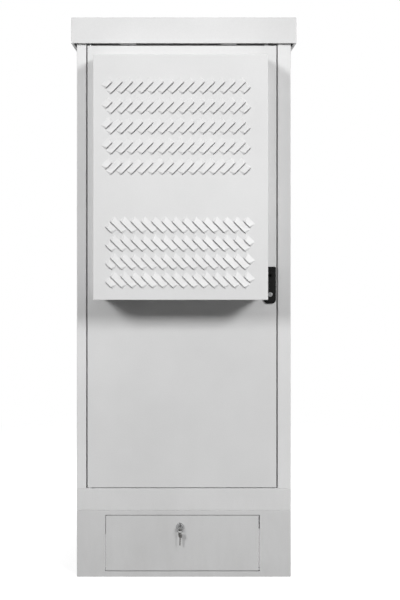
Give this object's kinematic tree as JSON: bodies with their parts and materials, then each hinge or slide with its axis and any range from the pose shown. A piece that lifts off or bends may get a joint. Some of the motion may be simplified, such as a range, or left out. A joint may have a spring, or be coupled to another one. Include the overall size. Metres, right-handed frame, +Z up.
{
  "type": "roadside utility cabinet",
  "caption": "Tall free-standing sheet-steel equipment cabinet with a louvred hood on its door, a swing handle and a locked plinth panel.",
  "frame": {"origin": "centre of the plinth's underside, the middle of the four anchor holes", "axes": "+Z up, the front faces -Y, +X to the right as seen from the front"},
  "size_m": [0.734, 0.838, 1.827],
  "materials": {
    "steel_paint": "satin powder coat",
    "hood_paint": "satin powder coat",
    "zinc": "zinc plated",
    "galvanised": "galvanised sheet",
    "chrome_metal": "polished",
    "key_metal": "nickel plated",
    "brass_bush": "plain",
    "copper_bar": "bare copper",
    "black_rubber": "matte",
    "black_plastic": "moulded",
    "black_handle": "black satin",
    "filter_fleece": "fleece",
    "red_insulator": "moulded"
  },
  "bodies": {
    "cabinet": {"plinth": "steel_paint", "base_frame": "steel_paint", "base_bolts": "zinc", "left_side": "steel_paint", "right_side": "steel_paint", "front_header": "steel_paint", "back_panel": "steel_paint", "back_panel_screws": "zinc", "ceiling_plate": "steel_paint", "roof_stiffeners": "galvanised", "roof_bolts": "zinc", "roof": "steel_paint", "roof_tabs": "steel_paint", "upper_pivot_pin": "zinc", "lower_pivot_pin": "zinc", "rack_rail_front_left": "galvanised", "rack_rail_front_right": "galvanised", "rack_rail_rear_left": "galvanised", "rack_rail_rear_right": "galvanised", "depth_bars_left": "galvanised", "depth_bars_right": "galvanised", "floor_plate": "galvanised", "cable_grommets": "black_rubber", "earth_bar": "copper_bar", "earth_standoffs": "red_insulator", "earth_bolts": "zinc"},
    "door": {"door": "steel_paint", "door_bushes": "brass_bush", "door_gasket": "black_rubber", "hood": "hood_paint", "hood_bolts": "zinc", "door_stiffeners": "steel_paint", "fan_housing_left": "black_plastic", "fan_housing_right": "black_plastic", "fan_guard_left": "chrome_metal", "fan_guard_right": "chrome_metal", "filter_frame": "black_plastic", "filter_mat": "filter_fleece", "handle_dish": "black_handle", "rod_guides": "black_plastic"},
    "fan_rotor_left": {"fan_rotor_left": "black_plastic"},
    "fan_rotor_right": {"fan_rotor_right": "black_plastic"},
    "handle_hub": {"handle_hub": "black_handle", "handle_pin": "chrome_metal", "rod_cam": "zinc"},
    "handle_lever": {"handle_lever": "black_handle", "lever_lock": "chrome_metal"},
    "upper_rod": {"upper_rod": "zinc"},
    "lower_rod": {"lower_rod": "zinc"},
    "plinth_panel": {"plinth_panel": "steel_paint", "panel_pivot_pins": "zinc", "panel_lock": "chrome_metal", "panel_lock_nut": "zinc"},
    "lock_plug": {"panel_lock_plug": "chrome_metal", "panel_lock_tongue": "zinc", "key": "key_metal"},
    "key_ring": {"key_ring": "key_metal"},
    "spare_key": {"spare_key": "key_metal"}
  },
  "joints": [
    {"name": "door_swing", "type": "hinge", "parent": "cabinet", "child": "door", "pos_m": [-0.307, -0.292, 1], "axis": [0, 0, -1], "range_deg": [0, 90]},
    {"name": "fan_spin_left", "type": "hinge", "parent": "door", "child": "fan_rotor_left", "pos_m": [-0.121, -0.28, 1.45], "axis": [0, 1, 0], "continuous": true},
    {"name": "fan_spin_right", "type": "hinge", "parent": "door", "child": "fan_rotor_right", "pos_m": [0.109, -0.28, 1.45], "axis": [0, 1, 0], "continuous": true},
    {"name": "handle_turn", "type": "hinge", "parent": "door", "child": "handle_hub", "pos_m": [0.281, -0.3, 0.994], "axis": [0, -1, 0], "range_deg": [0, 90]},
    {"name": "handle_lift", "type": "hinge", "parent": "handle_hub", "child": "handle_lever", "pos_m": [0.281, -0.31405, 0.994], "axis": [-1, 0, 0], "range_deg": [0, 35]},
    {"name": "upper_rod_slide", "type": "slide", "parent": "door", "child": "upper_rod", "axis": [0, 0, -1], "range_m": [0, 0.01707]},
    {"name": "lower_rod_slide", "type": "slide", "parent": "door", "child": "lower_rod", "axis": [0, 0, 1], "range_m": [0, 0.01707]},
    {"name": "panel_tilt", "type": "hinge", "parent": "cabinet", "child": "plinth_panel", "pos_m": [-0.005, -0.294, 0.026], "axis": [1, 0, 0], "range_deg": [0, 75]},
    {"name": "lock_turn", "type": "hinge", "parent": "plinth_panel", "child": "lock_plug", "pos_m": [-0.012, -0.29, 0.1635], "axis": [0, 1, 0], "range_deg": [0, 90]},
    {"name": "ring_swing", "type": "hinge", "parent": "lock_plug", "child": "key_ring", "pos_m": [-0.012, -0.3215, 0.1635], "axis": [-1, 0, 0], "range_deg": [-8, 60]},
    {"name": "spare_key_swing", "type": "hinge", "parent": "key_ring", "child": "spare_key", "pos_m": [-0.012, -0.3215, 0.14734], "axis": [-1, 0, 0], "range_deg": [-8, 60]}
  ],
  "couplings": [
    {"joint": "upper_rod_slide", "follows": "handle_turn", "m_per_rad": 0.010804},
    {"joint": "lower_rod_slide", "follows": "handle_turn", "m_per_rad": 0.010804}
  ]
}
